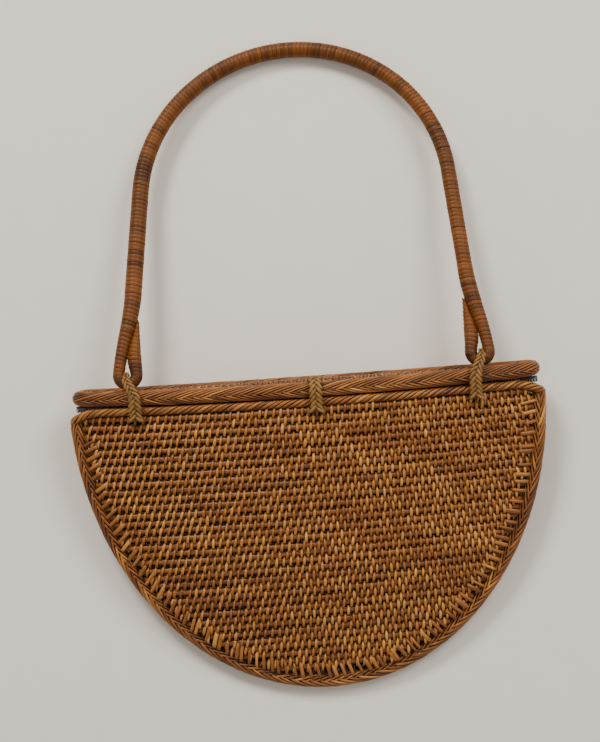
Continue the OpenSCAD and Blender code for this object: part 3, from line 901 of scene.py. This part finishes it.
class HANDBAG_OT_lid(bpy.types.Operator):
    """Weaves the lid and braids its rim"""
    bl_idname = "handbag.lid"
    bl_label = "Lid"

    def execute(self, context):
        depth = lambda x: lens_z(x, LID_RX, LID_TIP) - LID_R + 0.6
        inside = lambda x, z: np.minimum(depth(x) - np.abs(z), LID_PANEL_RX - np.abs(x))
        rows = (np.arange(LID_ROWS) + 0.5) / LID_ROWS
        line = lambda v, x: (2 * v - 1) * (MID_Z - LID_R) + 0 * x

        def reach(v):
            z = abs(2 * v - 1) * (MID_Z - LID_R)
            x = np.linspace(0, LID_PANEL_RX + PAST_PANEL, 400)
            ok = x[depth(x) >= z]
            return [-ok[-1], ok[-1]]

        bundle = Bundle()
        columns = stroke_columns(LID_PANEL_RX)
        weave(bundle, lid_at, on_lid, rows, columns, line, reach, inside, 41, age=LID_DARKENING)
        bundle.piece("lid_weave", [finish("woven_cane")], "lid", "cane_weave", "lid_panel")
        bundle = Bundle()
        pitch = LID_PITCH * context.scene.handbag_sizes.chevron_pitch / MM
        route = lens_route(LID_RX, LID_TIP, False)
        braid(bundle, route, LID_R, pitch, on_lid, 42, math.radians(-8), 20, 176)
        bundle.piece("lid_rim_cane", [finish("braided_cane")], "lid", "cane_braid", "lid_rim")
        return {"FINISHED"}


def tape_finish():
    """Woven tape of the zip."""
    tape = bpy.context.scene.handbag_colours.tape
    material, _, _, weft = mottled(
        "zip_tape", "ShaderNodeTexWave", 900.0, shade(tape, 0.55), shade(tape, 1.2), 0.85)
    weft.inputs["Distortion"].default_value = 1.5
    return material


def teeth_finish():
    """Pale, dull teeth of the zip."""
    material, _, shader, _ = mottled(
        "zip_teeth", "ShaderNodeTexNoise", 700.0, srgb(150, 154, 160), srgb(232, 234, 238), 0.4)
    shader.inputs["Metallic"].default_value = 0.1
    return material


class HANDBAG_OT_zip(bpy.types.Operator):
    """Makes the two halves of the zip, a tape and a row of teeth each"""
    bl_idname = "handbag.zip"
    bl_label = "Zip"

    def execute(self, context):
        materials = [tape_finish(), teeth_finish()]
        pitch = context.scene.handbag_sizes.tooth_pitch / MM
        lid_y = lambda x: -dip(x) - ZIP_TOP - 1.4 * ease((np.abs(x) - LID_RX + 14) / 10)
        body_y = lambda x: -dip(x) - corner_drop(x) - RIM_R - ZIP_H
        depth = lambda x: -ZIP_Z * (1 - (x / ZIP_RX) ** 2)
        out = np.array([0.0, 0.0, 1.0])
        for name, top, face, end, place, body, node in (
                ("lid_zip_half", lid_y, -1, LID_ZIP_X, on_lid, "lid", "lid_zip"),
                ("body_zip_half", body_y, 1, BODY_ZIP_X, laid, "bag", "body_zip")):
            bundle = Bundle()
            tape = Cane(4, 61)
            x = np.linspace(-end, end, tape.levels)
            centre = vec(x, top(x) + face * ZIP_H * 0.42, depth(x))[None]
            bundle.lay(tape, centre, out, ZIP_H * 0.45, 0.5, 0.5, 1.0, place, 0)
            tooth = Cane(6, 3)
            x = np.arange(-end + 0.8, end - 0.4, pitch)
            low, high = top(x) + face * ZIP_H * 0.4, top(x) + face * ZIP_H * 0.95
            t = (tooth.t + 1) / 2
            y = low[:, None] + (high - low)[:, None] * t[None]
            route = vec(x[:, None], y, depth(x)[:, None])
            bundle.lay(tooth, route, out, 0.42, 0.88, 0.5, 1.0, place, 1)
            bundle.piece(name, materials, body, "zip", node)
        return {"FINISHED"}


def strap_arc(x, centre, r, start, stop, steps):
    """Stretch of a strap round a bar, from 0 degrees in front to 90 on top."""
    a = np.radians(np.linspace(start, stop, steps + 1))
    return vec(x, centre[0] + r * np.sin(a), centre[1] + r * np.cos(a))


def strap_front(x):
    """Route of a strap from its foot on the front wall up to the front of the lid's rim."""
    seat = CLEAR + STRAP_T / 2
    rim_z = float(lens_z(x, RIM_RX, RIM_TIP))
    wall = lambda y: float(dome(x - STRAP_W / 2 - 1, y)) + WALL_T / 2 + RIDGE_H + seat
    mouth = -float(dip(x))
    foot, bend = mouth - STRAP_FOOT, mouth - RIM_R - 0.6
    middle = (foot + bend) / 2
    return np.array([
        [x, foot, wall(foot)], [x, middle, wall(middle)],
        [x, bend, (wall(bend) + rim_z + RIM_R + seat) / 2],
        [x, mouth - 1, rim_z + RIM_R + seat]])


def middle_strap():
    """Route and widths of the middle strap, over the lid's rim."""
    x = STRAP_MID_X
    bar = (float(lid_line_y(x, MID_Z)), float(lens_z(x, LID_RX, LID_TIP)))
    route = np.concatenate([strap_front(x), strap_arc(x, bar, LID_R + CLEAR + STRAP_T / 2, -15, 148, 9)])
    widths = np.full(len(route), STRAP_W)
    widths[:2] = STRAP_FOOT_W
    return route, widths


def outer_strap():
    """Route and widths on the right, over the lid's rim, through the eye and down, and where they part."""
    x = STRAP_X
    bar_z = float(lens_z(x, LID_RX, LID_TIP))
    bar = (float(lid_line_y(x, bar_z)), bar_z)
    eye_z = float(lens_z(EYE_X, LID_RX, LID_TIP))
    eye_y = float(lid_line_y(EYE_X, eye_z)) + LID_R + EYE_R + CLEAR
    front = np.concatenate([strap_front(x), strap_arc(x, bar, LID_R + CLEAR + STRAP_T / 2, -20, 10, 2)])
    neck = strap_arc(EYE_X, (eye_y, eye_z), EYE_R + 1.5 * CLEAR + STRAP_T / 2, 25, 175, 6)
    rise = (front[-1] + neck[0])[None] / 2 + [0, 0, 0.6]
    behind = eye_z - LID_R - CLEAR - STRAP_T / 2
    lid_top = float(lid_line_y(EYE_X, behind) + bulge(EYE_X, behind - STRAP_T / 2))
    seat_y = lid_top + WALL_T / 2 + RIDGE_H + CLEAR
    back = np.array([[EYE_X, eye_y - 2, behind], [EYE_X, seat_y, behind]])
    route = np.concatenate([front, rise, neck, back])
    widths = np.full(len(route), STRAP_LOOP_W)
    widths[:len(front)] = STRAP_W
    widths[:2] = STRAP_FOOT_W
    widths[len(front):len(front) + 3] = STRAP_NECK_W
    return route, widths, len(front)


class HANDBAG_OT_straps(bpy.types.Operator):
    """Plaits the straps that hinge the lid and hold the handle"""
    bl_idname = "handbag.straps"
    bl_label = "Plaited straps"

    def execute(self, context):
        outer, outer_w, parting = outer_strap()
        flip = outer * [-1, 1, 1]
        middle, middle_w = middle_strap()
        for node, points, widths, split in (
                ("strap_left", flip, outer_w, parting),
                ("strap_middle", middle, middle_w, None),
                ("strap_right", outer, outer_w, parting)):
            pieces = self.plait(node, points, widths, split)
            x = points[0, 0]
            top = lid_line_y(x, MID_Z)
            level = lambda y: tuple(laid(vec(x, y, MID_Z)))
            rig.blend(pieces[0], "bag", "lid", level(top), level(top + LID_R))
            if split:
                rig.blend(pieces[1], "lid", "handle", level(points[split, 1]), level(points[split:, 1].max()))
        return {"FINISHED"}

    def plait(self, node, points, widths, split):
        """Plaits a strap: one piece, or, where it is split, a front piece and a loop piece."""
        name = node + "_plait"
        rng = np.random.default_rng(len(name))
        s = np.concatenate([[0], np.cumsum(np.linalg.norm(np.diff(points, axis=0), axis=1))])
        fine = np.linspace(0, s[-1], 160)
        smooth = np.stack([np.interp(fine, s, points[:, i]) for i in range(3)], -1)
        kernel = np.ones(9) / 9
        padded = np.pad(smooth, ((4, 4), (0, 0)), mode="edge")
        smooth = np.stack([np.convolve(padded[:, i], kernel, "valid") for i in range(3)], -1)
        smooth[0], smooth[-1] = points[0], points[-1]
        width = np.interp(fine, s, widths)
        along = unit(np.gradient(smooth, axis=0))
        side = unit(np.array([1.0, 0, 0]) - along[:, :1] * along)
        out = np.cross(side, along)
        total = fine[-1]
        pick = lambda a, q: np.stack([np.interp(q, fine, a[:, i]) for i in range(3)], -1)
        cuts = [0, s[split], total] if split else [0, total]
        bundles = [Bundle() for _ in cuts[1:]]
        base = Cane(6, 41)
        for i, bundle in enumerate(bundles):
            gap = 0 if bundle is bundles[-1] else PARTING_GAP
            q = np.linspace(cuts[i], cuts[i + 1] - gap, base.levels)
            w = np.interp(q, fine, width)
            # Painted shade: a dark base under the strands fills the gaps of the plait
            bundle.lay(base, pick(smooth, q)[None], pick(out, q)[None], 0.46 * w[None], 0.7, 0.05, 0.3, laid)
        stroke = Cane(6, 6, 0.5)
        t = (stroke.t + 1) / 2
        for face in (1, -1):
            for way in (1, -1):
                start = np.arange(-2.0, total - 0.6, PLAIT_STEP) + (PLAIT_STEP / 2 if way < 0 else 0)
                at = np.clip(start[:, None] + PLAIT_RUN * t[None], 0, total)
                frac = way * (0.46 - 0.62 * t ** 1.4)[None] + rng.normal(0, 0.015, (len(start), 1))
                w = np.interp(at, fine, width)
                tuck = ease((0.9 - t) / 0.35)[None] * (0.4 + 0.6 * ease(t / 0.15))[None]
                p = (pick(smooth, at) + pick(side, at) * (frac * w * 0.86)[..., None]
                     + face * pick(out, at) * (0.35 + 0.65 * tuck)[..., None])
                narrow = np.clip(w / STRAP_W, 0.4, 1)
                half_w = STRAND_HALF_W * narrow * (0.7 + 0.3 * tuck)
                tone = 0.52 + rng.normal(0, 0.15, len(start))
                # Painted shade: strands darken where they tuck under one another
                crest = np.broadcast_to(0.2 + 0.8 * tuck, half_w.shape)
                part = np.searchsorted(cuts[1:-1], start + PLAIT_RUN)
                for i, bundle in enumerate(bundles):
                    own = part == i
                    bundle.lay(stroke, p[own], face * pick(out, at[own]), half_w[own], 0.6, tone[own],
                               crest[own], laid)
        names = (name, node + "_loop")
        return [b.piece(n, [finish("plaited_cane")], None, "plait", node) for n, b in zip(names, bundles)]


def leg_point(out, up):
    """A point of the right leg in the handle's plane, by its place across and up the leg."""
    return np.stack([EYE_X + out * math.cos(LEG_LEAN) - up * math.sin(LEG_LEAN),
                     out * math.sin(LEG_LEAN) + up * math.cos(LEG_LEAN)], -1)


def leg_out(up):
    """How far the leg stands out from its own line, where it opens into the eye."""
    return EYE_TURN * (1 - ease((up - EYE_TURN) / SPLIT_L))


def leg_radius(up):
    """Radius of the leg, which swells from its eye upwards."""
    return EYE_R + (HANDLE_R - EYE_R) * ease((up - EYE_TURN) / SPLIT_L)


def fold_inner(up):
    """Straight inner side of the fold, from the eye to its thin end."""
    end = EYE_TURN + FOLD_L
    thin = leg_out(end) - leg_radius(end) - 2 * FOLD_R
    return -(EYE_TURN + EYE_R) + (thin + EYE_TURN + EYE_R) * (up - EYE_TURN) / FOLD_L


def fold_radius(up):
    """Radius of the fold, which fills the room beside the leg."""
    widest = EYE_R + FOLD_SWELL * ease((up - EYE_TURN) / 8)
    return np.minimum(widest, (leg_out(up) - leg_radius(up) + 0.2 - fold_inner(up)) / 2)


def fold_out(up):
    """Place of the fold's middle across the leg."""
    return fold_inner(up) + fold_radius(up)


def handle_line(s):
    """Centre line and radius of the handle by length, from one folded end to the other."""
    right = s < HALF_L
    q = np.where(right, s, 2 * HALF_L - s)
    up_fold = EYE_TURN + FOLD_L - q
    fold = leg_point(fold_out(up_fold), up_fold)
    a = math.pi * (1 + (q - FOLD_L) / BEND_L)
    bend = leg_point(EYE_TURN * np.cos(a), EYE_TURN * (1 + np.sin(a)))
    up_leg = EYE_TURN + q - FOLD_L - BEND_L
    leg = leg_point(leg_out(up_leg), up_leg)
    b = LEG_LEAN + (q - HALF_L + ARCH_L) / ARCH_R
    arch = np.stack([ARCH_R * np.cos(b), HANDLE_H - ARCH_R + ARCH_R * np.sin(b)], -1)
    parts = [q < FOLD_L, q < FOLD_L + BEND_L, q < HALF_L - ARCH_L]
    xy = np.select([c[..., None] for c in parts], [fold, bend, leg], arch)
    r = np.select(parts, [fold_radius(up_fold), EYE_R + 0 * q, leg_radius(up_leg)], leg_radius(up_leg))
    share = RIGHT_SHARE + (LEFT_SHARE - RIGHT_SHARE) * s / (2 * HALF_L)
    r = r * (1 + (share - 1) * ease((up_leg - EYE_TURN - FOLD_L) / SHARE_RUN))
    shift = ARCH_SHIFT * (np.maximum(0, xy[..., 1]) / HANDLE_H) ** 1.5
    return vec(np.where(right, xy[..., 0], -xy[..., 0]) + shift, xy[..., 1], 0), r


class HANDBAG_OT_handle(bpy.types.Operator):
    """Binds the arch handle in fine turns of cane"""
    bl_idname = "handbag.handle"
    bl_label = "Bound handle"

    def execute(self, context):
        rng = np.random.default_rng(51)
        fine = np.linspace(0, 2 * HALF_L, 4001)
        points, radius = handle_line(fine)
        route = Route(points, (0, 0, 1), False)
        bundle = Bundle()
        core = Cane(10, 321)
        s = np.linspace(0, route.total, core.levels)
        p, up, _ = route.at(s)
        r = np.interp(s, route.s, radius) - 0.3
        # Painted shade: the core is dark where it shows between the turns
        bundle.lay(core, p[None], up[None], r[None], r[None], 0.12, 0.3, hung)
        turn = Cane(6, 37, 0.5)
        pitch = context.scene.handbag_sizes.binding_pitch / MM
        count = int(route.total / pitch)
        start = (np.arange(count) + 0.5) * route.total / count
        sweep = (turn.t + 1)[None] * math.pi * 1.02
        jitter = rng.normal(0, 0.06, (count, 1))
        at_s = start[:, None] + pitch * (sweep / (2 * math.pi) - 0.5) + jitter
        r = np.interp(start, route.s, radius)[:, None] - 0.22 + rng.normal(0, 0.03, (count, 1))
        pts, out = route.around(at_s, sweep - math.pi / 2 + 0 * at_s, r + 0 * at_s)
        u = start / route.total
        tone = 0.54 + rng.normal(0, 0.07, count) + 0.08 * np.sin(u * 40) + 0.05 * np.sin(u * 131)
        for centre, half, depth in STAINS:
            tone = tone - depth * np.exp(-((u - centre) / half) ** 2)
        tone = tone - 0.25 * (rng.random(count) < 0.07)
        near_eye = np.minimum(start, route.total - start)
        tone = tone - 0.35 * ease((FOLD_L + BEND_L + 6 - near_eye) / 14) * ease((near_eye - FOLD_L + 8) / 8)
        bend = ease((FOLD_L + BEND_L + 2 - near_eye) / 3) * ease((near_eye - FOLD_L + 2) / 3)
        width = 0.53 * pitch * (1 + 0.7 * bend)[:, None]
        # Painted shade: each turn darkens at its edges, in the grooves between turns
        bundle.lay(turn, pts, out, width, 0.24, tone, 0.95, hung)
        bundle.piece(
            "handle_binding", [finish("bound_cane")], "handle", "cane_bound", "handle", round_cane=False)
        return {"FINISHED"}


def floor_finish():
    """Pale, slightly uneven plaster-like surface."""
    floor = bpy.context.scene.handbag_colours.floor
    material, tree, shader, cloud = mottled(
        "pale_floor", "ShaderNodeTexNoise", 60.0, shade(floor, 0.97), shade(floor, 1.02), 0.8)
    cloud.inputs["Detail"].default_value = 6.0
    bump = tree.nodes.new("ShaderNodeBump")
    bump.inputs["Strength"].default_value = 0.12
    bump.inputs["Distance"].default_value = 0.001
    link(tree, (cloud.outputs["Fac"], bump.inputs["Height"]), (bump.outputs[0], shader.inputs["Normal"]))
    return material


def lamp(name, spot, aim, size, power, tint):
    """A round soft lamp that looks at a point."""
    deselect()
    bpy.ops.object.light_add(type="AREA", location=spot)
    light = bpy.context.object
    light.name = name
    light.data.shape = "DISK"
    light.data.size = size
    light.data.energy = power
    light.data.color = tint
    way = np.array(spot) - np.array(aim)
    flat = math.hypot(way[0], way[1])
    light.rotation_euler = (math.atan2(flat, way[2]), 0, math.atan2(way[0], -way[1]))


class HANDBAG_OT_stage(bpy.types.Operator):
    """Sets the floor, the lamps and the camera"""
    bl_idname = "handbag.stage"
    bl_label = "Stage"

    def execute(self, context):
        deselect()
        bpy.ops.mesh.primitive_plane_add(size=8.0, location=(0, 0, 0))
        floor = context.object
        floor.name = "floor"
        floor.data.materials.append(floor_finish())
        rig.stage(floor)
        lamp("key_lamp", (-0.6, 1.45, 1.35), (0, 0, 0), 0.6, 31, (1.0, 0.96, 0.9))
        lamp("fill_lamp", (1.0, 1.0, 1.4), (0, 0, 0), 0.9, 19, (1.0, 0.98, 0.95))
        world = bpy.data.worlds.new("soft_room")
        context.scene.world = world
        world.use_nodes = True
        world.node_tree.nodes["Background"].inputs["Color"].default_value = (1.0, 0.98, 0.95, 1)
        world.node_tree.nodes["Background"].inputs["Strength"].default_value = 0.5
        self.camera(context)
        return {"FINISHED"}

    def camera(self, context):
        """Looks down on the bag. scale is in millimetres for each pixel at the bag."""
        scale = 0.531
        image_h = 742.0
        distance = 1000.0
        tilt, yaw, roll = (math.radians(a) for a in (1.96, 2.0, 3.97))
        aim = laid(vec(-1.7, 15.0, MID_Z))
        turn = lambda x, y, z: np.array([x, LIE_C * y - LIE_S * z, LIE_S * y + LIE_C * z])
        back = turn(math.sin(yaw) * math.cos(tilt), math.sin(tilt), math.cos(yaw) * math.cos(tilt))
        up = turn(0, 1, 0)
        up = unit(up - (up @ back) * back)
        right = np.cross(up, back)
        cam_up = math.cos(roll) * up + math.sin(roll) * right
        cam_right = np.cross(cam_up, back)
        deselect()
        bpy.ops.object.camera_add()
        camera = context.object
        camera.name = "camera"
        spot = aim + back * distance * MM
        matrix = np.eye(4)
        matrix[:3, 0], matrix[:3, 1], matrix[:3, 2], matrix[:3, 3] = cam_right, cam_up, back, spot
        camera.matrix_world = matrix.T
        camera.data.sensor_fit = "AUTO"
        camera.data.sensor_width = 36.0
        camera.data.lens = 36.0 * distance / (scale * image_h)
        camera.data.clip_end = 50.0
        context.scene.camera = camera


STEPS = ("stage", "walls", "edge", "mouth", "lid", "zip", "straps", "handle")


class HANDBAG_PT_panel(bpy.types.Panel):
    """Lists the handbag's steps in the sidebar"""
    bl_idname = "HANDBAG_PT_panel"
    bl_label = "Handbag"
    bl_space_type = "VIEW_3D"
    bl_region_type = "UI"
    bl_category = "Handbag"

    def draw(self, context):
        for step in STEPS:
            self.layout.operator("handbag." + step)
        for group in (context.scene.handbag_sizes, context.scene.handbag_colours):
            for name in group.__annotations__:
                self.layout.prop(group, name)


CLASSES = (
    HandbagSizes, HandbagColours, HANDBAG_OT_stage, HANDBAG_OT_walls, HANDBAG_OT_edge, HANDBAG_OT_mouth,
    HANDBAG_OT_lid, HANDBAG_OT_zip, HANDBAG_OT_straps, HANDBAG_OT_handle, HANDBAG_PT_panel)


def register():
    for cls in CLASSES:
        bpy.utils.register_class(cls)
    bpy.types.Scene.handbag_sizes = bpy.props.PointerProperty(type=HandbagSizes)
    bpy.types.Scene.handbag_colours = bpy.props.PointerProperty(type=HandbagColours)


def unregister():
    del bpy.types.Scene.handbag_sizes
    del bpy.types.Scene.handbag_colours
    for cls in reversed(CLASSES):
        bpy.utils.unregister_class(cls)


def main():
    register()
    for step in STEPS:
        getattr(bpy.ops.handbag, step)()
    low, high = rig.bounds()
    with open(SIZE_FILE, "w") as out:
        json.dump({"cad": [list(map(float, c)) for c in cad_box],
                   "visual": [list(map(float, low)), list(map(float, high))]}, out)


if __name__ == "__main__":
    main()
